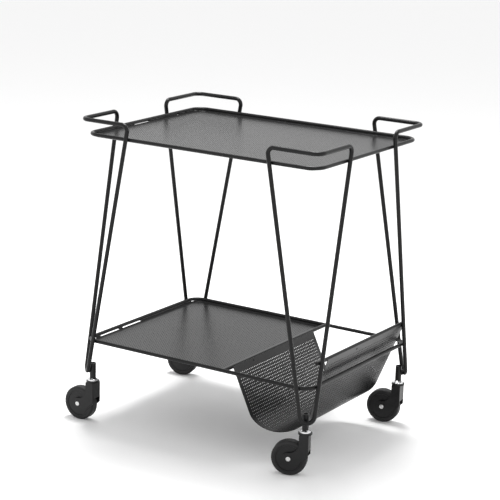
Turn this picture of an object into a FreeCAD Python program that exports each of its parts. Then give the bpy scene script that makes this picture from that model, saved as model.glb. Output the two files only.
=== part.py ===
import FreeCAD, Part
import math
import os
import re
import Sketcher
from FreeCAD import Placement, Rotation, Vector

# Bar cart on swivel casters, in millimetres. X runs along the long side, the front is -Y and +Z is up.
# The origin is on the floor, under the centre of the two rod rings.

SIZES = {
    # bent steel rod and sheet
    "rod_diameter": 8.0,
    "leg_rod_diameter": 9.0,
    "sheet_thickness": 1.2,
    "weld_bite": 0.3,
    # rod ring around the top tray, measured on the rod's centreline
    "rim_length": 570.0,
    "rim_depth": 416.0,
    "rim_height": 644.0,
    "rim_corner_radius": 28.0,
    # rod ring around the lower shelf
    "shelf_length": 567.0,
    "shelf_depth": 418.0,
    "shelf_height": 189.0,
    "shelf_corner_radius": 28.0,
    # pressed sheet trays inside the rings
    "tray_gap": 1.5,
    "tray_end_gap": 5.0,
    "tray_lip_rise": 2.5,
    "tray_lip_drop": 2.0,
    "tray_free_corner_radius": 3.0,
    "tab_length": 14.0,
    # hairpin legs, each one closed loop of rod
    "arm_setback_long": 108.0,
    "arm_setback_short": 113.0,
    "apex_height": 13.0,
    "foot_bend_radius": 15.8,
    "handle_height": 676.0,
    "handle_corner_radius": 18.0,
    "handle_bend_radius": 13.0,
    # magazine basket
    "cross_rod_x": 76.5,
    "top_rod_height": 238.0,
    "top_rod_overhang": 6.0,
    "basket_inner_angle": 25.4,
    "basket_outer_angle": 19.6,
    "basket_bottom_radius": 59.6,
    "basket_bottom_height": 61.7,
    "basket_inner_top": 193.0,
    "basket_outer_top": 238.5,
    "basket_inner_front": -185.0,
    "basket_inner_back": 139.0,
    "basket_bend_front": -126.0,
    "basket_bend_back": 161.0,
    "basket_outer_front": -146.0,
    "basket_outer_back": 184.0,
    "notch_half_width": 6.5,
    "notch_depth": 8.0,
    "rivet_head_diameter": 4.6,
    "rivet_head_height": 1.0,
    # caster socket and stem
    "socket_diameter": 13.8,
    "socket_bottom": 100.0,
    "socket_top": 134.0,
    "socket_weld_gap": 1.5,
    "bead_radius": 3.4,
    "bead_length": 9.0,
    "stem_diameter": 10.0,
    "stem_top": 125.0,
    "stem_head_diameter": 14.6,
    "stem_head_height": 3.2,
    "stem_clearance": 0.1,
    "collar_top_diameter": 15.5,
    "collar_diameter": 22.5,
    "collar_height": 3.4,
    "washer_diameter": 24.6,
    # swivel fork
    "swivel_clearance": 0.3,
    "running_clearance": 0.05,
    "seat_clearance": 0.02,
    "bush_diameter": 14.0,
    "cap_diameter": 29.0,
    "cap_height": 4.0,
    "fork_top": 90.5,
    "fork_top_plate": 3.0,
    "fork_half_channel": 10.0,
    "fork_cheek": 2.3,
    "fork_wall_bottom": 55.0,
    "fork_boss_radius": 13.0,
    "fork_belly_radius": 52.0,
    "fork_edge_radius": 1.4,
    # wheel
    "wheel_diameter": 75.0,
    "wheel_width": 22.0,
    "wheel_trail": 31.0,
    "wheel_side_gap": 0.8,
    "tyre_inner_diameter": 62.0,
    "tyre_shoulder": 5.0,
    "core_dish": 1.5,
    "core_rim_width": 3.6,
    "hub_diameter": 18.0,
    "hub_bush_diameter": 12.0,
    "axle_diameter": 6.0,
    "axle_head_diameter": 9.5,
    "axle_head_height": 1.7,
    "axle_dimple": 0.7,
}

# Each caster rests turned about its stem by its own angle, in degrees.
CORNERS = {
    "front_left": (-1, -1, 2.4),
    "front_right": (1, -1, 19.5),
    "back_right": (1, 1, 9.0),
    "back_left": (-1, 1, 12.0),
}

# Weld tabs along the trays' ends, as fractions of half the straight part of that side.
TOP_LEFT_SEAMS = ((-1.0, -0.28), (0.04, 0.62), (0.67, 0.81), (0.83, 1.0))
SHELF_LEFT_SEAMS = ((-1.0, -0.93), (-0.54, -0.49), (-0.09, 1.0))
RIGHT_END_TABS = (-0.72, 0.0, 0.72)
# Basket tabs and rivets, as fractions of the wall they stand on from its front end to its back end.
BASKET_TABS = (0.09, 0.23, 0.43, 0.53, 0.67, 0.86)
INNER_RIVET = 0.235
OUTER_RIVET = 0.38

doc = FreeCAD.newDocument("BarCart")
sheet = doc.addObject("Spreadsheet::Sheet", "Sizes")
for row, (alias, number) in enumerate(SIZES.items(), start=1):
    sheet.set("A%d" % row, alias)
    sheet.set("B%d" % row, str(number))
    sheet.setAlias("B%d" % row, alias)
doc.recompute()

subparts = []


def bound(text):
    """The expression text with each named size read from the sheet."""
    return re.sub(r"[a-z][a-z_]*", lambda word: "Sizes." + word[0] if word[0] in SIZES else word[0], str(text))


def value(text):
    """The present value of an expression in the named sizes."""
    result = sheet.evalExpression(re.sub(r"Sizes\.", "", bound(text)))
    return float(getattr(result, "Value", result))


def keep(thing, label):
    thing.Label = label
    subparts.append(thing)
    return thing


# ---------------------------------------------------------------- sketches and bodies

def new_body(label):
    return keep(doc.addObject("PartDesign::Body", "Body_" + label), label)


def origin_plane(body, role):
    return [item for item in body.Origin.OriginFeatures if item.Role == role][0]


def new_sketch(body, role, offset="0"):
    sketch = body.newObject("Sketcher::SketchObject", "Sketch")
    sketch.AttachmentSupport = [(origin_plane(body, role), "")]
    sketch.MapMode = "FlatFace"
    sketch.setExpression(".AttachmentOffset.Base.z", bound(offset))
    return sketch


def arc_between(start, end, radius, turn):
    """Minor arc from start to end; turn is 1 for anticlockwise and -1 for clockwise."""
    first, last = (start, end) if turn > 0 else (end, start)
    chord = last - first
    side = Vector(-chord.y, chord.x, 0).normalize()
    rise = math.sqrt(max(radius ** 2 - (chord.Length / 2) ** 2, 0.0))
    centre = first + chord * 0.5 + side * rise
    begin = math.atan2(first.y - centre.y, first.x - centre.x)
    finish = math.atan2(last.y - centre.y, last.x - centre.x)
    circle = Part.Circle(centre, Vector(0, 0, 1), radius)
    return Part.ArcOfCircle(circle, begin, finish if finish > begin else finish + 2 * math.pi)


def fix_point(sketch, edge, end, x, y):
    for kind, text in (("DistanceX", x), ("DistanceY", y)):
        number = sketch.addConstraint(Sketcher.Constraint(kind, -1, 1, edge, end, value(text)))
        sketch.setExpression("Constraints[%d]" % number, bound(text))


def add_outline(sketch, vertices):
    """Closed outline. A vertex is (x, y), or (x, y, radius, turn) where an arc leaves it."""
    places = [Vector(value(v[0]), value(v[1]), 0) for v in vertices]
    ends = []
    for i, vertex in enumerate(vertices):
        here, there = places[i], places[(i + 1) % len(places)]
        if len(vertex) == 2:
            edge = sketch.addGeometry(Part.LineSegment(here, there), False)
            ends.append((edge, 1, 2))
        else:
            edge = sketch.addGeometry(arc_between(here, there, value(vertex[2]), vertex[3]), False)
            ends.append((edge, 1, 2) if vertex[3] > 0 else (edge, 2, 1))
    for i, (edge, start, end) in enumerate(ends):
        after = ends[(i + 1) % len(ends)]
        sketch.addConstraint(Sketcher.Constraint("Coincident", edge, end, after[0], after[1]))
        fix_point(sketch, edge, start, vertices[i][0], vertices[i][1])
        if len(vertices[i]) == 4:
            number = sketch.addConstraint(Sketcher.Constraint("Radius", edge, value(vertices[i][2])))
            sketch.setExpression("Constraints[%d]" % number, bound(vertices[i][2]))


def add_circle(sketch, x, y, diameter):
    circle = Part.Circle(Vector(value(x), value(y), 0), Vector(0, 0, 1), value(diameter) / 2)
    edge = sketch.addGeometry(circle, False)
    fix_point(sketch, edge, 3, x, y)
    number = sketch.addConstraint(Sketcher.Constraint("Diameter", edge, value(diameter)))
    sketch.setExpression("Constraints[%d]" % number, bound(diameter))


def rounded_box(low_x, high_x, low_y, high_y, left_radius, right_radius):
    """Outline of a rectangle with one corner radius at its low-x end and one at its high-x end."""
    lx, hx, ly, hy = ["(%s)" % side for side in (low_x, high_x, low_y, high_y)]
    a, b = "(%s)" % left_radius, "(%s)" % right_radius
    return [
        (lx + "+" + a, ly),
        (hx + "-" + b, ly, b, 1),
        (hx, ly + "+" + b),
        (hx, hy + "-" + b, b, 1),
        (hx + "-" + b, hy),
        (lx + "+" + a, hy, a, 1),
        (lx, hy + "-" + a),
        (lx, ly + "+" + a, a, 1),
    ]


def pad(body, sketch, length, midplane=False):
    feature = body.newObject("PartDesign::Pad", "Pad")
    feature.Profile = sketch
    feature.setExpression("Length", bound(length))
    feature.Midplane = midplane
    return feature


def pocket(body, sketch, length, midplane=False):
    """Cut below the sketch, or to both sides of it, and make sure that something was cut."""
    doc.recompute()
    before = body.Shape.Volume
    feature = body.newObject("PartDesign::Pocket", "Pocket")
    feature.Profile = sketch
    feature.setExpression("Length", bound(length))
    feature.Midplane = midplane
    doc.recompute()
    if body.Shape.Volume >= before:
        raise RuntimeError("a pocket in %s cut nothing" % body.Label)
    return feature


def turned_body(label, profile, placement):
    """Body turned about its own Z axis from a half profile of (radius, height) vertices."""
    body = new_body(label)
    sketch = new_sketch(body, "XZ_Plane")
    add_outline(sketch, profile)
    feature = body.newObject("PartDesign::Revolution", "Revolution")
    feature.Profile = sketch
    feature.ReferenceAxis = (sketch, ["V_Axis"])
    feature.Angle = 360.0
    body.Placement = placement
    return body


# ---------------------------------------------------------------- rings and trays

# How far from a rod's centreline its surface is met at the height of the trays' lips, less the weld's bite.
ROD_HOLD = "(sqrt((rod_diameter/2)^2 - tray_lip_drop^2) - weld_bite)"


def rod_ring(label, length, depth, height, corner):
    """Ring of round rod, swept round a rectangle with rounded corners."""
    body = new_body(label)
    path = new_sketch(body, "XY_Plane", height)
    half_x, half_y = length + "/2", depth + "/2"
    add_outline(path, rounded_box("-" + half_x, half_x, "-" + half_y, half_y, corner, corner))
    section = new_sketch(body, "YZ_Plane", "-%s+%s" % (half_x, corner))
    add_circle(section, "-" + half_y, height, "rod_diameter")
    ring = body.newObject("PartDesign::AdditivePipe", "AdditivePipe")
    ring.Profile = section
    ring.Spine = (path, [])


def pressed_tray(label, height, low_x, high_x, half_y, left_radius, right_radius):
    """Shallow sheet pan, open at the top, with its lip a little below the middle of the ring."""
    top = "%s-tray_lip_drop" % height
    body = new_body(label)
    outer = new_sketch(body, "XY_Plane", top + "-tray_lip_rise-sheet_thickness")
    add_outline(outer, rounded_box(low_x, high_x, "-(%s)" % half_y, half_y, left_radius, right_radius))
    pad(body, outer, "tray_lip_rise+sheet_thickness")
    inner = new_sketch(body, "XY_Plane", top)
    wall = "-sheet_thickness"
    add_outline(inner, rounded_box(
        low_x + "+sheet_thickness", high_x + wall, "-(%s)+sheet_thickness" % half_y, half_y + wall,
        left_radius + wall, right_radius + wall))
    pocket(body, inner, "tray_lip_rise")


def tab_plate(x, y, size_x, size_y, low_z, high_z):
    return Part.makeBox(size_x, size_y, high_z - low_z, Vector(x - size_x / 2, y - size_y / 2, low_z))


def tray_tabs(label, height, straight, left_x, left_seams, right_x, right_gap):
    """Upright weld tabs that bridge the gaps between a tray's two end lips and their rods, as one group."""
    low = value(height + "-tray_lip_drop-tray_lip_rise/2")
    high = value(height + "-weld_bite")
    plates = []
    for start, end in left_seams:
        near, far = value(ROD_HOLD), value("rod_diameter/2 + tray_end_gap + weld_bite")
        middle, length = straight * (start + end) / 2, straight * (end - start)
        plates.append(tab_plate(left_x + (near + far) / 2, middle, far - near, length, low, high))
    for share in RIGHT_END_TABS:
        near, far = value(ROD_HOLD), value("rod_diameter/2 + %s + weld_bite" % right_gap)
        middle, length = share * straight, value("tab_length")
        plates.append(tab_plate(right_x - (near + far) / 2, middle, far - near, length, low, high))
    return keep_shape(label, Part.makeCompound(plates))


def keep_shape(label, shape, placement=None):
    feature = keep(doc.addObject("Part::Feature", "Feature_" + label), label)
    feature.Shape = shape
    if placement is not None:
        feature.Placement = placement
    return feature


# ---------------------------------------------------------------- hairpin legs

# Where the two arms of a leg lie against the rings: outside both, so they lean a little.
BESIDE = "((rod_diameter + leg_rod_diameter)/2 - weld_bite)"
RIM_X = "(rim_length/2 + %s)" % BESIDE
RIM_Y = "(rim_depth/2 + %s)" % BESIDE
SHELF_X = "(shelf_length/2 + %s)" % BESIDE
SHELF_Y = "(shelf_depth/2 + %s)" % BESIDE
DROP = "((rim_height - apex_height)/(rim_height - shelf_height))"
APEX_X = "(%s + (%s - %s)*%s)" % (RIM_X, SHELF_X, RIM_X, DROP)
APEX_Y = "(%s + (%s - %s)*%s)" % (RIM_Y, SHELF_Y, RIM_Y, DROP)
RISE = "((top_rod_height - apex_height)/(rim_height - apex_height))"


def leg_corners(side_x, side_y):
    """Corners of a leg's rod loop: long-side arm top, handle corner, short-side arm top, foot apex."""
    apex = Vector(value(APEX_X), value(APEX_Y), value("apex_height"))
    long_arm = Vector(value("rim_length/2 - arm_setback_long"), value(RIM_Y), value("rim_height"))
    short_arm = Vector(value(RIM_X), value("rim_depth/2 - arm_setback_short"), value("rim_height"))
    rise = value("(handle_height - apex_height)/(rim_height - apex_height)")
    long_top = apex + (long_arm - apex) * rise
    short_top = apex + (short_arm - apex) * rise
    handle = Vector(short_top.x, long_top.y, value("handle_height"))
    return [Vector(p.x * side_x, p.y * side_y, p.z) for p in (long_top, handle, short_top, apex)]


def bend(before, corner, after, radius, rod_radius):
    """One bend of the rod: where it starts, where it ends, and its solid."""
    back = (before - corner).normalize()
    ahead = (after - corner).normalize()
    half = back.getAngle(ahead) / 2
    start = corner + back * (radius / math.tan(half))
    end = corner + ahead * (radius / math.tan(half))
    centre = corner + (back + ahead).normalize() * (radius / math.sin(half))
    axis = (start - centre).cross(end - centre).normalize()
    section = Part.Face(Part.Wire(Part.makeCircle(rod_radius, start, back)))
    return start, end, section.revolve(centre, axis, 180 - math.degrees(2 * half))


def closed_rod(corners, radii):
    """Closed loop of round rod through the corners, each rounded by its own bend radius."""
    rod_radius = value("leg_rod_diameter/2")
    bends = []
    for i, corner in enumerate(corners):
        bends.append(bend(corners[i - 1], corner, corners[(i + 1) % len(corners)], radii[i], rod_radius))
    solids = [item[2] for item in bends]
    for i, item in enumerate(bends):
        run = bends[(i + 1) % len(bends)][0] - item[1]
        solids.append(Part.makeCylinder(rod_radius, run.Length, item[1], run))
    return solids[0].fuse(solids[1:]).removeSplitter()


def hairpin_leg(label, side_x, side_y):
    radii = [value(name) for name in
             ("handle_bend_radius", "handle_corner_radius", "handle_bend_radius", "foot_bend_radius")]
    keep_shape(label, closed_rod(leg_corners(side_x, side_y), radii))


def foot_bottom():
    """Lowest point of the rod's centreline in the foot bend of the leg at +X, +Y."""
    long_top, _, short_top, apex = leg_corners(1, 1)
    first = (long_top - apex).normalize()
    second = (short_top - apex).normalize()
    half = first.getAngle(second) / 2
    radius = value("foot_bend_radius")
    return apex + (first + second).normalize() * (radius / math.sin(half) - radius)


def stem_place(side_x, side_y):
    """Where a caster's stem stands: inboard of the foot bend, on the diagonal."""
    bottom = foot_bottom()
    step = value("leg_rod_diameter/2 + socket_diameter/2 + socket_weld_gap") / math.sqrt(2)
    return Vector(side_x * (bottom.x - step), side_y * (bottom.y - step), 0)


def socket_welds():
    """A bead of weld between each foot bend and its socket."""
    bottom = foot_bottom()
    radius, length = value("bead_radius"), value("bead_length")
    beads = []
    for side_x, side_y, _ in CORNERS.values():
        stem = stem_place(side_x, side_y)
        foot = Vector(side_x * bottom.x, side_y * bottom.y, 0)
        outward = (foot - stem).normalize()
        middle = stem + outward * value("socket_diameter/2 + socket_weld_gap/2")
        bead = Part.makeCylinder(radius, length, middle + Vector(0, 0, bottom.z - length / 2))
        bead = bead.makeFillet(radius / 2, bead.Edges)
        tube = Part.makeCylinder(value("socket_diameter/2"), 3 * length, stem + Vector(0, 0, bottom.z - 1.5 * length))
        beads.append(bead.cut(tube))
    keep_shape("socket_weld_beads", Part.makeCompound(beads))


# ---------------------------------------------------------------- magazine basket

ARM_X = "(%s + (%s - %s)*%s)" % (APEX_X, RIM_X, APEX_X, RISE)
ARM_Y = "(%s + (rim_depth/2 - arm_setback_short - %s)*%s)" % (APEX_Y, APEX_Y, RISE)
TOP_ROD_X = "(%s - %s)" % (ARM_X, BESIDE)
BASKET_Z = "(basket_bottom_height + basket_bottom_radius)"
BASKET_HOLD = "(rod_diameter/2 - weld_bite + sheet_thickness - basket_bottom_radius)"
BASKET_LEAN = "(%s/cos(basket_outer_angle) - tan(basket_outer_angle)*(top_rod_height - %s))" % (BASKET_HOLD, BASKET_Z)
BASKET_X = "(%s + %s)" % (TOP_ROD_X, BASKET_LEAN)
BEND_LOW = BASKET_X + " - basket_bottom_radius*cos(basket_inner_angle)"
BEND_HIGH = BASKET_X + " + basket_bottom_radius*cos(basket_outer_angle)"


def wall_x(side, radius, height):
    """X of a basket wall's face at a height; the outer face has the bottom radius."""
    angle = "basket_outer_angle" if side > 0 else "basket_inner_angle"
    lean = "((%s)/cos(%s) + tan(%s)*(%s - %s))" % (radius, angle, angle, height, BASKET_Z)
    return "(%s %s %s)" % (BASKET_X, "+" if side > 0 else "-", lean)


def bend_end(side, radius):
    """Where a wall runs into the round bottom, on the face with that radius."""
    angle = "basket_outer_angle" if side > 0 else "basket_inner_angle"
    x = "%s %s %s*cos(%s)" % (BASKET_X, "+" if side > 0 else "-", radius, angle)
    return (x, "%s - %s*sin(%s)" % (BASKET_Z, radius, angle))


def wall_top(side, height):
    """The two corners of a wall's cut top edge: on its outside and on its inside."""
    angle = "basket_outer_angle" if side > 0 else "basket_inner_angle"
    x = wall_x(side, "basket_bottom_radius", height)
    step = "%ssheet_thickness*cos(%s)" % ("-" if side > 0 else "+", angle)
    return (x, height), (x + step, height + "+sheet_thickness*sin(%s)" % angle)


def basket_profile():
    """Bent-sheet section: inner wall, round bottom and the taller outer wall."""
    outer, inner = "basket_bottom_radius", "(basket_bottom_radius - sheet_thickness)"
    low_outside, low_inside = wall_top(-1, "basket_inner_top")
    high_outside, high_inside = wall_top(1, "basket_outer_top")
    return [
        low_outside,
        bend_end(-1, outer) + (outer, 1),
        bend_end(1, outer),
        high_outside,
        high_inside,
        bend_end(1, inner) + (inner, -1),
        bend_end(-1, inner),
        low_inside,
    ]


def basket():
    """Sheet bent to a trough, with its ends cut on a skew round the bottom and up the outer wall."""
    body = new_body("magazine_basket")
    section = new_sketch(body, "XZ_Plane", "-basket_outer_back")
    add_outline(section, basket_profile())
    feature = pad(body, section, "basket_outer_back - basket_inner_front")
    feature.Reversed = False
    top = wall_x(1, "basket_bottom_radius", "basket_outer_top")
    far = BASKET_X + " + 3*basket_bottom_radius"
    near = BASKET_X + " - 3*basket_bottom_radius"
    front = new_sketch(body, "XY_Plane", "basket_outer_top + 20")
    add_outline(front, [
        (BEND_LOW, "basket_inner_front"), (BEND_LOW, "basket_inner_front - 10"), (far, "basket_inner_front - 10"),
        (far, "basket_outer_front"), (top, "basket_outer_front"), (BEND_HIGH, "basket_bend_front")])
    pocket(body, front, "basket_outer_top + 20")
    back = new_sketch(body, "XY_Plane", "basket_outer_top + 20")
    add_outline(back, [
        (near, "basket_inner_back"), (BEND_LOW, "basket_inner_back"), (BEND_HIGH, "basket_bend_back"),
        (top, "basket_outer_back"), (top, "basket_outer_back + 10"), (near, "basket_outer_back + 10")])
    pocket(body, back, "basket_outer_top + 20")
    # the outer wall's top edge is notched round the back right leg's arm
    notch = new_sketch(body, "XY_Plane", "basket_outer_top + 20")
    sides = (TOP_ROD_X + " + rod_diameter/2 - 2", TOP_ROD_X + " + 2*rod_diameter")
    add_outline(notch, [
        (sides[0], ARM_Y + " - notch_half_width"), (sides[1], ARM_Y + " - notch_half_width"),
        (sides[1], ARM_Y + " + notch_half_width"), (sides[0], ARM_Y + " + notch_half_width")])
    pocket(body, notch, "20 + notch_depth")


def rod_along(axis, radius, length, x, y, z):
    """Round rod along X or Y that starts at (x, y, z)."""
    rod = doc.addObject("Part::Cylinder", "Rod")
    rod.setExpression("Radius", bound(radius))
    rod.setExpression("Height", bound(length))
    turn = Rotation(Vector(0, 1, 0), 90) if axis == "X" else Rotation(Vector(1, 0, 0), -90)
    rod.Placement = Placement(Vector(0, 0, 0), turn)
    for name, text in (("x", x), ("y", y), ("z", z)):
        rod.setExpression(".Placement.Base." + name, bound(text))
    return rod


def basket_rods():
    """Cross rod coped to the lower ring's two long sides, and the top rod behind the outer wall."""
    rod = rod_along("Y", "rod_diameter/2", "shelf_depth", "cross_rod_x", "-shelf_depth/2", "shelf_height")
    sides = doc.addObject("Part::MultiFuse", "RingSides")
    sides.Shapes = [
        rod_along("X", "rod_diameter/2", "6*rod_diameter", "cross_rod_x - 3*rod_diameter", y, "shelf_height")
        for y in ("-shelf_depth/2", "shelf_depth/2")]
    cross = keep(doc.addObject("Part::Cut", "CrossRod"), "basket_cross_rod")
    cross.Base = rod
    cross.Tool = sides
    half = "(%s + top_rod_overhang)" % ARM_Y
    keep(rod_along("Y", "rod_diameter/2", "2*" + half, TOP_ROD_X, "-" + half, "top_rod_height"), "basket_top_rod")


def wall_y(wall, share):
    """Y at a fraction of the way from a wall's front end to its back end."""
    front, back = value("basket_%s_front" % wall), value("basket_%s_back" % wall)
    return front + (back - front) * share


def basket_tabs():
    """Plates from the cross rod to the basket's inner wall."""
    low = value("shelf_height - sheet_thickness/2")
    high = low + value("sheet_thickness")
    start = value("cross_rod_x + rod_diameter/2 - weld_bite")
    end = value(wall_x(-1, "basket_bottom_radius", str(low)))
    width = value("tab_length") - 2
    plates = []
    for share in BASKET_TABS:
        plates.append(tab_plate((start + end) / 2, wall_y("inner", share), end - start, width, low, high))
    keep_shape("basket_weld_tabs", Part.makeCompound(plates))


def rivet(at, outward):
    """Domed head that stands on a wall, with its shank through the sheet."""
    radius, height = value("rivet_head_diameter/2"), value("rivet_head_height")
    head = Part.makeCylinder(radius, height, at, outward)
    head = head.makeFillet(height * 0.8, [edge for edge in head.Edges if edge.Length > 1 and
                                          (edge.CenterOfMass - at).dot(outward) > height / 2 and edge.Closed])
    shank = Part.makeCylinder(radius / 2, value("sheet_thickness"), at, outward * -1)
    return head.fuse(shank).removeSplitter()


def basket_rivets():
    lean_in, lean_out = math.radians(value("basket_inner_angle")), math.radians(value("basket_outer_angle"))
    low, high = value("basket_inner_top - 4"), value("basket_outer_top - 8")
    inner_x = value(wall_x(-1, "(basket_bottom_radius - sheet_thickness)", str(low)))
    outer_x = value(wall_x(1, "basket_bottom_radius", str(high)))
    rivets = [
        rivet(Vector(inner_x, wall_y("inner", INNER_RIVET), low), Vector(math.cos(lean_in), 0, math.sin(lean_in))),
        rivet(Vector(outer_x, wall_y("outer", OUTER_RIVET), high), Vector(math.cos(lean_out), 0, -math.sin(lean_out)))]
    keep_shape("basket_rivets", Part.makeCompound(rivets))


# ---------------------------------------------------------------- casters

# Each caster is drawn about its stem, with the wheel trailing towards -X.
HALF_WIDTH = "(wheel_width/2)"
FORK_WIDTH = "(wheel_width + 2*wheel_side_gap + 2*fork_cheek)"
SEAT_TOP = "(fork_top + cap_height)"
WASHER_LOW = "(%s + swivel_clearance)" % SEAT_TOP
COLLAR_LOW = "(socket_bottom - collar_height)"
BORE = "(stem_diameter/2 + stem_clearance)"


def socket_and_stem(name, place):
    """Open socket tube on the leg, the stem bolt in it, and the collar and washer under it."""
    turned_body(name + "_socket_tube", [
        (BORE, "socket_bottom"), ("socket_diameter/2", "socket_bottom"),
        ("socket_diameter/2", "socket_top"), (BORE, "socket_top")], place)
    head_top = "(fork_top - fork_top_plate - swivel_clearance)"
    turned_body(name + "_stem_bolt", [
        ("0", head_top + "-stem_head_height"), ("stem_head_diameter/2", head_top + "-stem_head_height"),
        ("stem_head_diameter/2", head_top), ("stem_diameter/2", head_top),
        ("stem_diameter/2", "stem_top"), ("0", "stem_top")], place)
    turned_body(name + "_stem_collar", [
        (BORE, COLLAR_LOW), ("collar_diameter/2", COLLAR_LOW),
        ("collar_diameter/2", COLLAR_LOW + "+collar_height/3"),
        ("collar_top_diameter/2", "socket_bottom"), (BORE, "socket_bottom")], place)
    turned_body(name + "_stem_washer", [
        (BORE, WASHER_LOW), ("washer_diameter/2", WASHER_LOW),
        ("washer_diameter/2", COLLAR_LOW), (BORE, COLLAR_LOW)], place)


def fork_outline():
    """Side of the fork: square neck, hollow back, round boss and a belly that hugs the wheel."""
    boss_top = "wheel_diameter/2 + fork_boss_radius"
    boss_low = "wheel_diameter/2 - fork_boss_radius"
    reach = "(wheel_trail + fork_half_channel)"
    belly = boss_low + " + fork_belly_radius - sqrt(fork_belly_radius^2 - %s^2)" % reach
    neck = "(wheel_trail - fork_half_channel)"
    return [
        ("fork_half_channel", "fork_top"), ("-fork_half_channel", "fork_top"),
        ("-fork_half_channel", boss_top + "+" + neck, neck, -1),
        ("-wheel_trail", boss_top, "fork_boss_radius", 1),
        ("-wheel_trail - fork_boss_radius", "wheel_diameter/2", "fork_boss_radius", 1),
        ("-wheel_trail", boss_low, "fork_belly_radius", 1),
        ("fork_half_channel", belly)]


def fork_front_edges(shape):
    """Names of the fork's two upright outer edges on its closed front."""
    x, y = value("fork_half_channel"), value(FORK_WIDTH) / 2
    names = []
    for number, edge in enumerate(shape.Edges, start=1):
        upright = all(abs(v.X - x) < 0.01 and abs(abs(v.Y) - y) < 0.01 for v in edge.Vertexes)
        if upright and len(edge.Vertexes) == 2 and abs(edge.Vertexes[0].Y - edge.Vertexes[1].Y) < 0.01:
            names.append("Edge%d" % number)
    return names


def fork(name, place):
    body = new_body(name + "_swivel_fork")
    side = new_sketch(body, "XZ_Plane")
    add_outline(side, fork_outline())
    cheeks = pad(body, side, FORK_WIDTH, midplane=True)
    doc.recompute()
    edges = body.newObject("PartDesign::Fillet", "Fillet")
    edges.Base = (cheeks, fork_front_edges(cheeks.Shape))
    edges.setExpression("Radius", bound("fork_edge_radius"))
    cap = new_sketch(body, "XY_Plane", "fork_top")
    add_circle(cap, "0", "0", "cap_diameter")
    pad(body, cap, "cap_height")
    channel = new_sketch(body, "XZ_Plane")
    back, front = "-(wheel_trail + 2*fork_boss_radius)", "2*fork_half_channel"
    inside, under = "fork_half_channel - fork_cheek", "fork_top - fork_top_plate"
    add_outline(channel, [
        (back, "0"), (front, "0"), (front, "fork_wall_bottom"),
        (inside, "fork_wall_bottom"), (inside, under), (back, under)])
    pocket(body, channel, "wheel_width + 2*wheel_side_gap", midplane=True)
    bore = new_sketch(body, "XY_Plane", SEAT_TOP)
    add_circle(bore, "0", "0", "bush_diameter + 2*seat_clearance")
    pocket(body, bore, "cap_height + fork_top_plate + 0.5")
    axle = new_sketch(body, "XZ_Plane")
    add_circle(axle, "-wheel_trail", "wheel_diameter/2", "axle_diameter + 2*seat_clearance")
    pocket(body, axle, "2*" + FORK_WIDTH, midplane=True)
    body.Placement = place


def axle_profile():
    """Riveted axle: a shaft with a low domed and dimpled head at each end."""
    face = FORK_WIDTH + "/2"
    tip = "(%s + axle_head_height)" % face
    head, shaft = "axle_head_diameter/2", "axle_diameter/2"
    rise = "axle_head_height*0.55"
    upper = [
        (shaft, face), (head, face), (head, face + "+" + rise),
        ("axle_head_diameter*0.32", tip), ("axle_head_diameter*0.18", tip), ("0", tip + "-axle_dimple")]
    lower = [(x, "-(%s)" % z) for x, z in reversed(upper)]
    return lower + upper


def wheel_profiles():
    """Half sections of the tyre, the moulded core and the hub bush."""
    seat = "tyre_inner_diameter/2"
    crown = "wheel_diameter/2"
    tyre = [
        (seat, "-" + HALF_WIDTH), (crown + "-tyre_shoulder", "-" + HALF_WIDTH, "tyre_shoulder", 1),
        (crown, "-%s+tyre_shoulder" % HALF_WIDTH), (crown, HALF_WIDTH + "-tyre_shoulder", "tyre_shoulder", 1),
        (crown + "-tyre_shoulder", HALF_WIDTH), (seat, HALF_WIDTH)]
    bore = "hub_bush_diameter/2 + seat_clearance"
    rim = seat + " - seat_clearance"
    web = "(%s - core_dish)" % HALF_WIDTH
    face = "(%s - core_dish/4)" % HALF_WIDTH
    upper = [
        (rim, face), (seat + "-core_rim_width", face), (seat + "-core_rim_width-core_dish/2", web),
        ("hub_diameter/2 + core_dish/2", web), ("hub_diameter/2", face), (bore, face)]
    lower = [(x, "-" + z) for x, z in reversed(upper)]
    reach = "(%s + wheel_side_gap - swivel_clearance)" % HALF_WIDTH
    inner, outer = "axle_diameter/2 + running_clearance", "hub_bush_diameter/2"
    bush = [(inner, "-" + reach), (outer, "-" + reach), (outer, reach), (inner, reach)]
    return {"tyre": tyre, "wheel_core": lower + upper, "hub_bush": bush}


def caster(name, side_x, side_y, angle):
    place = Placement(stem_place(side_x, side_y), Rotation(Vector(0, 0, 1), angle))
    socket_and_stem(name, place)
    fork(name, place)
    inner, outer = "stem_diameter/2 + running_clearance", "bush_diameter/2"
    low = "fork_top - fork_top_plate"
    turned_body(name + "_swivel_bush", [(inner, low), (outer, low), (outer, SEAT_TOP), (inner, SEAT_TOP)], place)
    hub = Vector(-value("wheel_trail"), 0, value("wheel_diameter/2"))
    across = place * Placement(hub, Rotation(Vector(1, 0, 0), 90))
    turned_body(name + "_axle_rivet", axle_profile(), across)
    for piece, profile in wheel_profiles().items():
        turned_body(name + "_" + piece, profile, across)


# ---------------------------------------------------------------- the whole cart

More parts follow.
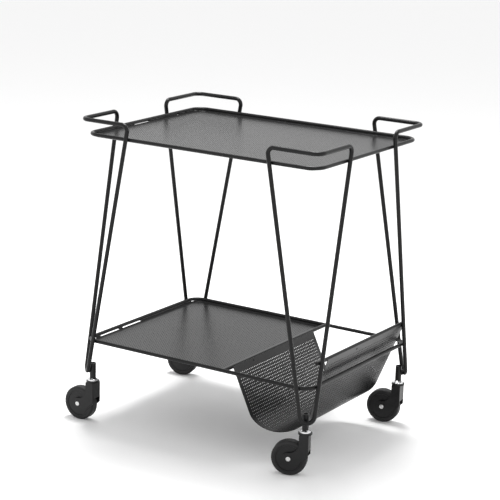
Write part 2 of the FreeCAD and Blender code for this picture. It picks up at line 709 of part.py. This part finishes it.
def frame():
    rod_ring("top_rim_ring", "rim_length", "rim_depth", "rim_height", "rim_corner_radius")
    rod_ring("shelf_ring", "shelf_length", "shelf_depth", "shelf_height", "shelf_corner_radius")
    inset = "(rod_diameter/2 + tray_end_gap)"
    rim_end, shelf_end = "rim_length/2-" + inset, "shelf_length/2-" + inset
    pressed_tray("top_tray", "rim_height", "-(%s)" % rim_end, rim_end, "rim_depth/2-" + ROD_HOLD,
                 "rim_corner_radius-" + inset, "rim_corner_radius-" + inset)
    pressed_tray("shelf_tray", "shelf_height", "-(%s)" % shelf_end, "cross_rod_x-(rod_diameter/2 + tray_gap)",
                 "shelf_depth/2-" + ROD_HOLD, "shelf_corner_radius-" + inset, "tray_free_corner_radius")
    straight = value("rim_depth/2 - rim_corner_radius")
    end = value("rim_length/2")
    tray_tabs("top_tray_weld_tabs", "rim_height", straight, -end, TOP_LEFT_SEAMS, end, "tray_end_gap")
    straight = value("shelf_depth/2 - shelf_corner_radius")
    tray_tabs("shelf_tray_weld_tabs", "shelf_height", straight, -value("shelf_length/2"), SHELF_LEFT_SEAMS,
              value("cross_rod_x"), "tray_gap")


def write_parts():
    doc.recompute()
    for item in doc.Objects:
        if "Invalid" in item.State or "Error" in item.State:
            raise RuntimeError("%s failed: %s" % (item.Label, item.State))
    for item in subparts:
        if item.Shape.isNull() or not item.Shape.isValid() or not item.Shape.Solids:
            raise RuntimeError("%s has no valid solid" % item.Label)
    os.makedirs("parts", exist_ok=True)
    for item in subparts:
        item.Shape.exportStep("parts/%s.step" % item.Label)


frame()
for corner_name, (corner_x, corner_y, corner_angle) in CORNERS.items():
    hairpin_leg(corner_name + "_hairpin_leg", corner_x, corner_y)
    caster(corner_name, corner_x, corner_y, corner_angle)
socket_welds()
basket_rods()
basket()
basket_tabs()
basket_rivets()
write_parts()
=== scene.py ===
import math

import bpy
from mathutils import Matrix, Vector


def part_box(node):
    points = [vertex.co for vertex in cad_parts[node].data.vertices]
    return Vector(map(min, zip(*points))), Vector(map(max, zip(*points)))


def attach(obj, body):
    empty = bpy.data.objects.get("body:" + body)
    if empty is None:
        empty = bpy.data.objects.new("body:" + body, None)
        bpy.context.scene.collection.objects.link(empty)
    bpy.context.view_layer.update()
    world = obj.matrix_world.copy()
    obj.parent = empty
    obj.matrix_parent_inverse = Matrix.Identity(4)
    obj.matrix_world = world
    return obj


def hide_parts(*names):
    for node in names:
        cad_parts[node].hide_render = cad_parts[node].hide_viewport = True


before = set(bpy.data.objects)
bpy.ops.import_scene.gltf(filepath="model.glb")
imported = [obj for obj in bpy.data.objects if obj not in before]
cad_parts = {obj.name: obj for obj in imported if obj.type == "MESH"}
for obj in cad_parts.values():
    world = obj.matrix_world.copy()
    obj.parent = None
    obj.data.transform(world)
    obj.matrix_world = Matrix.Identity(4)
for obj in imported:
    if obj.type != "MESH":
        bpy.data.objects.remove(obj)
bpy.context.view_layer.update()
scene = bpy.context.scene

MM = 0.001

# Perforated sheet: its thickness, the holes' spacing and radius, and the plain border round them.
SHEET = 1.2 * MM
PITCH = 6.5 * MM
HOLE = 1.5 * MM
TRAY_BORDER = 9 * MM
BASKET_SIDE_BORDER = 8 * MM
BASKET_TOP_BORDER = 14 * MM

# Trays: corner radii inside the ring and at the cross rod, the lip's bend, and the turned border's width.
CORNER = 19.0 * MM
FREE_CORNER = 3.0 * MM
LIP_BEND = 1.0 * MM
LIP_CHAMFER = 0.35 * MM
TURNED_BORDER = 7 * MM
DECK_INSET = 3.0 * MM
SKIN = 0.00003
SHARPEST = 0.0002

# Magazine basket's section and skewed ends.
INNER_LEAN = math.radians(25.4)
OUTER_LEAN = math.radians(19.6)
BASKET_RADIUS = 59.6 * MM
INNER_TOP = 193.0 * MM
OUTER_TOP = 238.5 * MM
FRONT_SKEW = (0.0, 59.0 * MM, 39.0 * MM)
BACK_SKEW = (-45.0 * MM, -23.0 * MM, 0.0)


# ------------------------------------------------------------------ materials

def new_material(name):
    """An empty material with its node tree, links, shader and texture coordinates."""
    mat = bpy.data.materials.new(name)
    mat.use_nodes = True
    nodes, links = mat.node_tree.nodes, mat.node_tree.links
    shader = nodes["Principled BSDF"]
    coords = nodes.new("ShaderNodeTexCoord")
    return mat, nodes, links, shader, coords


def noise(nodes, links, coords, scale, detail, stretch=(1, 1, 1)):
    """Noise texture in the object's own space, stretched along its axes."""
    mapping = nodes.new("ShaderNodeMapping")
    mapping.inputs["Scale"].default_value = stretch
    texture = nodes.new("ShaderNodeTexNoise")
    texture.inputs["Scale"].default_value = scale
    texture.inputs["Detail"].default_value = detail
    links.new(coords.outputs["Object"], mapping.inputs["Vector"])
    links.new(mapping.outputs["Vector"], texture.inputs["Vector"])
    return texture


def ramp(nodes, links, source, stops):
    """Colour ramp with (position, colour) stops."""
    node = nodes.new("ShaderNodeValToRGB")
    while len(node.color_ramp.elements) < len(stops):
        node.color_ramp.elements.new(0.5)
    for element, (place, colour) in zip(node.color_ramp.elements, stops):
        element.position = place
        element.color = (*colour, 1.0)
    links.new(source, node.inputs["Fac"])
    return node


def spread(nodes, links, source, low, high):
    """The middle of a texture's range, mapped to run from low to high."""
    node = nodes.new("ShaderNodeMapRange")
    node.inputs["From Min"].default_value = 0.3
    node.inputs["From Max"].default_value = 0.7
    node.inputs["To Min"].default_value = low
    node.inputs["To Max"].default_value = high
    links.new(source, node.inputs["Value"])
    return node


def bump(nodes, links, shader, source, strength, distance):
    node = nodes.new("ShaderNodeBump")
    node.inputs["Strength"].default_value = strength
    node.inputs["Distance"].default_value = distance
    links.new(source, node.inputs["Height"])
    links.new(node.outputs["Normal"], shader.inputs["Normal"])


def coated_metal(name, dark, light, rough_low, rough_high, specular):
    """Powder coat: fine orange peel, faint cloudy tone and uneven gloss."""
    mat, nodes, links, shader, coords = new_material(name)
    cloud = noise(nodes, links, coords, 14.0, 5.0)
    tone = ramp(nodes, links, cloud.outputs["Fac"], [(0.3, dark), (0.7, light)])
    links.new(tone.outputs["Color"], shader.inputs["Base Color"])
    grain = noise(nodes, links, coords, 900.0, 2.0)
    gloss = spread(nodes, links, grain.outputs["Fac"], rough_low, rough_high)
    links.new(gloss.outputs["Result"], shader.inputs["Roughness"])
    bump(nodes, links, shader, grain.outputs["Fac"], 0.25, 0.00012)
    shader.inputs["Specular IOR Level"].default_value = specular
    return mat


def rubber(name):
    """Matte tyre rubber with moulding haze and a little dust."""
    mat, nodes, links, shader, coords = new_material(name)
    haze = noise(nodes, links, coords, 60.0, 6.0)
    tone = ramp(nodes, links, haze.outputs["Fac"], [
        (0.35, (0.006, 0.006, 0.0062)), (0.62, (0.011, 0.011, 0.0112)), (0.8, (0.02, 0.0195, 0.019))])
    links.new(tone.outputs["Color"], shader.inputs["Base Color"])
    grain = noise(nodes, links, coords, 1400.0, 2.0)
    gloss = spread(nodes, links, haze.outputs["Fac"], 0.5, 0.68)
    links.new(gloss.outputs["Result"], shader.inputs["Roughness"])
    bump(nodes, links, shader, grain.outputs["Fac"], 0.35, 0.0001)
    shader.inputs["Specular IOR Level"].default_value = 0.35
    return mat


def moulded(name, dark, light, rough_low, rough_high):
    """Moulded plastic with a fine spark-eroded grain."""
    mat, nodes, links, shader, coords = new_material(name)
    flow = noise(nodes, links, coords, 35.0, 4.0, (1.0, 1.0, 2.2))
    tone = ramp(nodes, links, flow.outputs["Fac"], [(0.35, dark), (0.7, light)])
    links.new(tone.outputs["Color"], shader.inputs["Base Color"])
    cells = nodes.new("ShaderNodeTexVoronoi")
    cells.inputs["Scale"].default_value = 1500.0
    links.new(coords.outputs["Object"], cells.inputs["Vector"])
    gloss = spread(nodes, links, flow.outputs["Fac"], rough_low, rough_high)
    links.new(gloss.outputs["Result"], shader.inputs["Roughness"])
    bump(nodes, links, shader, cells.outputs["Distance"], 0.2, 0.00008)
    shader.inputs["Specular IOR Level"].default_value = 0.28
    return mat


def plated(name, dark, light, rough_low, rough_high, stretch):
    """Bright plating with hairline polishing marks."""
    mat, nodes, links, shader, coords = new_material(name)
    shader.inputs["Metallic"].default_value = 1.0
    smear = noise(nodes, links, coords, 220.0, 4.0, stretch)
    tone = ramp(nodes, links, smear.outputs["Fac"], [(0.3, dark), (0.7, light)])
    links.new(tone.outputs["Color"], shader.inputs["Base Color"])
    gloss = spread(nodes, links, smear.outputs["Fac"], rough_low, rough_high)
    links.new(gloss.outputs["Result"], shader.inputs["Roughness"])
    bump(nodes, links, shader, smear.outputs["Fac"], 0.08, 0.00005)
    return mat


rod_coat = coated_metal(
    "satin_black_rod", dark=(0.0035, 0.0035, 0.0037), light=(0.006, 0.006, 0.0062),
    rough_low=0.26, rough_high=0.38, specular=0.24)
sheet_coat = coated_metal(
    "satin_black_sheet", dark=(0.005, 0.005, 0.0052), light=(0.009, 0.009, 0.0092),
    rough_low=0.27, rough_high=0.37, specular=0.36)
tyre_rubber = rubber("tyre_rubber")
black_plastic = moulded(
    "black_plastic", dark=(0.004, 0.004, 0.0042), light=(0.007, 0.007, 0.0073),
    rough_low=0.32, rough_high=0.45)
bush_plastic = moulded(
    "bush_plastic", dark=(0.55, 0.53, 0.48), light=(0.68, 0.66, 0.6),
    rough_low=0.35, rough_high=0.5)
chrome = plated(
    "chrome", dark=(0.68, 0.68, 0.69), light=(0.8, 0.8, 0.81),
    rough_low=0.08, rough_high=0.2, stretch=(1, 1, 6))
zinc = plated(
    "zinc_steel", dark=(0.5, 0.5, 0.5), light=(0.68, 0.68, 0.67),
    rough_low=0.24, rough_high=0.4, stretch=(1, 6, 1))


# ------------------------------------------------------------------ mesh pieces

class Builder:
    """Collects points and faces, then makes one object that rides on a body."""

    def __init__(self):
        self.points = []
        self.faces = []

    def add(self, points):
        start = len(self.points)
        self.points.extend(points)
        return range(start, start + len(points))

    def face(self, *corners):
        self.faces.append(corners)

    def make(self, name, body, material, replaced, smooth_angle=40.0):
        mesh = bpy.data.meshes.new(name)
        mesh.from_pydata([tuple(p) for p in self.points], [], self.faces)
        mesh.materials.append(material)
        mesh.polygons.foreach_set("use_smooth", [True] * len(mesh.polygons))
        mesh.set_sharp_from_angle(angle=math.radians(smooth_angle))
        mesh.update()
        piece = bpy.data.objects.new(name, mesh)
        scene.collection.objects.link(piece)
        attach(piece, body)
        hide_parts(replaced)


def hole_ring(u, v):
    """Eight points of a round hole, starting beside the cell's low-u, low-v corner."""
    angles = [math.radians(180 + 22.5 + 45 * k) for k in range(8)]
    return [(u + HOLE * math.cos(a), v + HOLE * math.sin(a)) for a in angles]


def holed_cell(build, place, u0, u1, v0, v1):
    """One cell of perforated sheet, both faces and the hole's wall."""
    corners = [(u0, v0), (u1, v0), (u1, v1), (u0, v1)]
    ring = hole_ring((u0 + u1) / 2, (v0 + v1) / 2)
    layers = []
    for side in (0, 1):
        c = build.add([place(u, v, side) for u, v in corners])
        r = build.add([place(u, v, side) for u, v in ring])
        layers.append(r)
        for k in range(4):
            a, b = c[k], c[(k + 1) % 4]
            near, far, last = r[2 * k], r[2 * k + 1], r[(2 * k + 2) % 8]
            quad, wedge = (a, b, far, near), (b, last, far)
            for face in (quad, wedge):
                build.face(*(face if side else tuple(reversed(face))))
    low, high = layers
    for k in range(8):
        n = (k + 1) % 8
        build.face(low[k], high[k], high[n], low[n])


def plain_cell(build, place, corners):
    """A cell with no hole, given by its corners in turn."""
    for side in (0, 1):
        c = build.add([place(u, v, side) for u, v in corners])
        build.face(*(c if side else tuple(reversed(c))))


def edge_strip(build, place, line):
    """The sheet's cut edge along a line of (u, v) points."""
    low = build.add([place(u, v, 0) for u, v in line])
    high = build.add([place(u, v, 1) for u, v in line])
    for k in range(len(line) - 1):
        build.face(low[k], low[k + 1], high[k + 1], high[k])


def perforated(build, place, lines, holed, low_v, high_v, margin):
    """Sheet between u lines. holed says which gaps have holes; low_v and high_v give its sides at u."""
    for u0, u1, has_holes in zip(lines, lines[1:], holed):
        lows, highs = (low_v(u0), low_v(u1)), (high_v(u0), high_v(u1))
        if not has_holes:
            plain_cell(build, place, [(u0, lows[0]), (u1, lows[1]), (u1, highs[1]), (u0, highs[0])])
            continue
        first = math.ceil((max(lows) + margin) / PITCH)
        last = math.floor((min(highs) - margin) / PITCH)
        v_low, v_high = first * PITCH, last * PITCH
        plain_cell(build, place, [(u0, lows[0]), (u1, lows[1]), (u1, v_low), (u0, v_low)])
        for j in range(first, last):
            holed_cell(build, place, u0, u1, j * PITCH, (j + 1) * PITCH)
        plain_cell(build, place, [(u0, v_high), (u1, v_high), (u1, highs[1]), (u0, highs[0])])
    edge_strip(build, place, [(u, low_v(u)) for u in lines])
    edge_strip(build, place, [(u, high_v(u)) for u in reversed(lines)])


def hole_lines(start, end, margin, steps):
    """Lines across a sheet: fine plain strips in both margins, one pitch apart between them."""
    count = int((end - start - 2 * margin) / PITCH)
    first = (start + end - count * PITCH) / 2
    last = first + count * PITCH
    inner = [first + i * PITCH for i in range(count + 1)]
    ease = [1 - math.cos(math.pi / 2 * i / steps) for i in range(steps)]
    lines = [start + (first - start) * e for e in ease] + inner
    lines += [end - (end - last) * e for e in reversed(ease)]
    return lines, [first - 1e-6 <= a and b <= last + 1e-6 for a, b in zip(lines, lines[1:])]


def rounded_outline(low, high, left, right, inset, steps=10):
    """Points round a rounded rectangle, drawn in from its sides; the same count at every inset."""
    points = []
    for x, y, radius, turn in ((low.x, low.y, left, 180), (high.x, low.y, right, 270),
                               (high.x, high.y, right, 0), (low.x, high.y, left, 90)):
        cx = x + math.copysign(radius, (low.x + high.x) / 2 - x)
        cy = y + math.copysign(radius, (low.y + high.y) / 2 - y)
        r = max(radius - inset, SHARPEST)
        shift = max(inset + SHARPEST - radius, 0.0)
        cx += math.copysign(shift, (low.x + high.x) / 2 - x)
        cy += math.copysign(shift, (low.y + high.y) / 2 - y)
        for k in range(steps + 1):
            a = math.radians(turn + 90 * k / steps)
            points.append((cx + r * math.cos(a), cy + r * math.sin(a)))
    return points


def tray(name, node, left, right):
    """Perforated deck with an upturned lip; the lip's profile is (inset from the outer face, height)."""
    low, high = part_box(node)
    deck = low.z + SHEET
    top = high.z
    build = Builder()
    arc = [(1 - math.sin(a), 1 - math.cos(a)) for a in (math.pi / 2 * k / 4 for k in range(5))]
    profile = [(TURNED_BORDER, deck + SKIN), (SHEET + LIP_BEND, deck + SKIN)]
    profile += [(SHEET + LIP_BEND * s, deck + LIP_BEND * c) for s, c in arc[1:]]
    shoulder = top - LIP_CHAMFER
    profile += [(SHEET, shoulder), (SHEET * 0.75, top), (SHEET * 0.25, top), (0.0, shoulder)]
    turn = LIP_BEND + SHEET * 0.6
    profile += [(turn * s, low.z + turn * c) for s, c in reversed(arc)]
    profile += [(TURNED_BORDER, low.z - SKIN)]
    rings = []
    for inset, z in profile:
        outline = rounded_outline(low, high, left, right, inset)
        rings.append(build.add([Vector((x, y, z)) for x, y in outline]))
    for a, b in zip(rings, rings[1:]):
        for k in range(len(a)):
            n = (k + 1) % len(a)
            build.face(a[k], b[k], b[n], a[n])
    inset = DECK_INSET

    def half_width(x):
        """Distance from the tray's middle line to its side at x, inside the rounded corners."""
        half = (high.y - low.y) / 2 - inset
        ends = ((low.x + inset, left - inset, 1), (high.x - inset, max(right - inset, 0.0), -1))
        for end, radius, sign in ends:
            depth = (x - end) * sign
            if depth < radius:
                half -= radius - math.sqrt(max(radius ** 2 - (radius - depth) ** 2, 0.0))
        return half

    middle = (low.y + high.y) / 2
    lines, holed = hole_lines(low.x + inset, high.x - inset, TRAY_BORDER, 8)

    def place(u, v, side):
        return Vector((u, v, deck if side else deck - SHEET))

    sides = (lambda u: middle - half_width(u), lambda u: middle + half_width(u))
    perforated(build, place, lines, holed, *sides, TRAY_BORDER)
    build.make(name, "frame", sheet_coat, node)


tray("top_tray_perforated", "top_tray", CORNER, CORNER)
tray("shelf_tray_perforated", "shelf_tray", CORNER, FREE_CORNER)


def magazine_basket():
    """Perforated trough: inner wall, round bottom and the taller outer wall, with skewed ends."""
    low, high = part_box("magazine_basket")
    lean_in, lean_out, radius = INNER_LEAN, OUTER_LEAN, BASKET_RADIUS
    centre_z = low.z + radius
    centre_x = low.x + radius / math.cos(lean_in) + math.tan(lean_in) * (INNER_TOP - centre_z)
    inner_run = (INNER_TOP - centre_z) / math.cos(lean_in) + radius * math.tan(lean_in)
    outer_run = (OUTER_TOP - centre_z) / math.cos(lean_out) + radius * math.tan(lean_out)
    arc = radius * (math.pi - lean_in - lean_out)
    total = inner_run + arc + outer_run
    ends_front = [low.y + step for step in FRONT_SKEW]
    ends_back = [high.y + step for step in BACK_SKEW]

    def at(u):
        """Point on the outer face at u from the inner wall's top, and the way to the inner face."""
        if u < inner_run:
            normal = Vector((math.cos(lean_in), 0, math.sin(lean_in)))
            down = Vector((math.sin(lean_in), 0, -math.cos(lean_in)))
            return Vector((centre_x, 0, centre_z)) - normal * radius + down * (u - inner_run), normal
        if u > inner_run + arc:
            normal = Vector((-math.cos(lean_out), 0, math.sin(lean_out)))
            up = Vector((math.sin(lean_out), 0, math.cos(lean_out)))
            return Vector((centre_x, 0, centre_z)) - normal * radius + up * (u - inner_run - arc), normal
        angle = math.pi + lean_in + (u - inner_run) / radius
        spoke = Vector((math.cos(angle), 0, math.sin(angle)))
        return Vector((centre_x, 0, centre_z)) + spoke * radius, -spoke

    bend_low = centre_x - radius * math.cos(lean_in)
    bend_high = centre_x + radius * math.cos(lean_out)
    top_x = at(total)[0].x

    def end(places, u):
        """Y of a skewed end at u: level up the inner wall, then straight to each corner of its plan."""
        x = at(u)[0].x
        if x <= bend_low or u < inner_run:
            return places[0]
        if x <= bend_high and u <= inner_run + arc:
            return places[0] + (places[1] - places[0]) * (x - bend_low) / (bend_high - bend_low)
        return places[1] + (places[2] - places[1]) * (x - bend_high) / (top_x - bend_high)

    def place(u, v, side):
        point, normal = at(u)
        point = point + normal * (0.0 if side else SHEET)
        return Vector((point.x, v, point.z))

    build = Builder()
    lines, holed = hole_lines(0.0, total, BASKET_TOP_BORDER, 2)
    sides = (lambda u: end(ends_front, u), lambda u: end(ends_back, u))
    perforated(build, place, lines, holed, *sides, BASKET_SIDE_BORDER)
    edge_strip(build, place, [(0.0, ends_back[0]), (0.0, ends_front[0])])
    edge_strip(build, place, [(total, ends_front[2]), (total, ends_back[2])])
    build.make("magazine_basket_perforated", "frame", sheet_coat, "magazine_basket")


magazine_basket()


# ------------------------------------------------------------------ carried-over nodes

def material_for(node):
    """The material of a carried-over node, by the end of its name."""
    if node.endswith("_tyre"):
        return tyre_rubber
    if node.endswith(("_stem_collar", "_stem_washer")):
        return chrome
    if node.endswith(("_axle_rivet", "_stem_bolt")):
        return zinc
    if node.endswith("_bush"):
        return bush_plastic
    if node.endswith(("_swivel_fork", "_wheel_core")):
        return black_plastic
    return rod_coat


for name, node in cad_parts.items():
    node.data.materials.clear()
    node.data.materials.append(material_for(name))


# ------------------------------------------------------------------ floor, light and camera

FLOOR_SIZE = 40.0
FLOOR_WHITE = 0.93
WORLD_STRENGTH = 1.4
ZENITH = 0.62
LAMP_PLACE = (-0.35, 0.5, 2.6)
LAMP_TARGET = (0.0, 0.0, 0.3)
LAMP_SIDE = 0.9
LAMP_POWER = 70.0
LENS = 130.0
CAMERA_PLACE = (2.03568, -3.193, 1.3667)
YAW, PITCH, ROLL = -0.5675, 0.25154, -0.02859


def floor():
    """Plain pale floor far wider than the view."""
    mesh = bpy.data.meshes.new("floor")
    size = FLOOR_SIZE
    corners = [(-size, -size, 0), (size, -size, 0), (size, size, 0), (-size, size, 0)]
    mesh.from_pydata(corners, [], [(0, 1, 2, 3)])
    mat = bpy.data.materials.new("floor")
    mat.use_nodes = True
    shader = mat.node_tree.nodes["Principled BSDF"]
    shader.inputs["Base Color"].default_value = (FLOOR_WHITE, FLOOR_WHITE, FLOOR_WHITE, 1)
    shader.inputs["Roughness"].default_value = 0.9
    shader.inputs["Specular IOR Level"].default_value = 0.1
    mesh.materials.append(mat)
    obj = bpy.data.objects.new("floor", mesh)
    scene.collection.objects.link(obj)


def overhead_lamp():
    """One soft square lamp above and a little behind the cart."""
    lamp = bpy.data.lights.new("key", "AREA")
    lamp.shape = "RECTANGLE"
    lamp.size = LAMP_SIDE
    lamp.size_y = LAMP_SIDE
    lamp.energy = LAMP_POWER
    obj = bpy.data.objects.new("key", lamp)
    scene.collection.objects.link(obj)
    obj.location = LAMP_PLACE
    aim = Vector(LAMP_TARGET) - Vector(LAMP_PLACE)
    obj.rotation_euler = aim.to_track_quat("-Z", "Y").to_euler()


def studio():
    """White surroundings, a little darker overhead."""
    world = bpy.data.worlds.new("studio")
    scene.world = world
    world.use_nodes = True
    nodes, links = world.node_tree.nodes, world.node_tree.links
    coords = nodes.new("ShaderNodeTexCoord")
    split = nodes.new("ShaderNodeSeparateXYZ")
    shade = nodes.new("ShaderNodeValToRGB")
    shade.color_ramp.elements[0].position = 0.05
    shade.color_ramp.elements[0].color = (1.0, 1.0, 1.0, 1)
    shade.color_ramp.elements[1].position = 0.8
    shade.color_ramp.elements[1].color = (ZENITH, ZENITH, ZENITH, 1)
    links.new(coords.outputs["Generated"], split.inputs["Vector"])
    links.new(split.outputs["Z"], shade.inputs["Fac"])
    links.new(shade.outputs["Color"], nodes["Background"].inputs["Color"])
    nodes["Background"].inputs["Strength"].default_value = WORLD_STRENGTH
    scene.view_settings.view_transform = "Standard"
    scene.view_settings.look = "None"


def camera():
    """Long lens from the front right, a little above the top tray."""
    data = bpy.data.cameras.new("camera")
    obj = bpy.data.objects.new("camera", data)
    scene.collection.objects.link(obj)
    data.sensor_width = 36.0
    data.lens = LENS
    data.clip_end = 200.0
    ahead = Vector((math.sin(YAW) * math.cos(PITCH), math.cos(YAW) * math.cos(PITCH), -math.sin(PITCH)))
    across = Vector((math.cos(YAW), -math.sin(YAW), 0.0))
    below = ahead.cross(across)
    right = across * math.cos(ROLL) + below * math.sin(ROLL)
    down = below * math.cos(ROLL) - across * math.sin(ROLL)
    turn = Matrix((right, -down, -ahead)).transposed().to_4x4()
    turn.translation = Vector(CAMERA_PLACE)
    obj.matrix_world = turn
    scene.camera = obj


floor()
studio()
overhead_lamp()
camera()
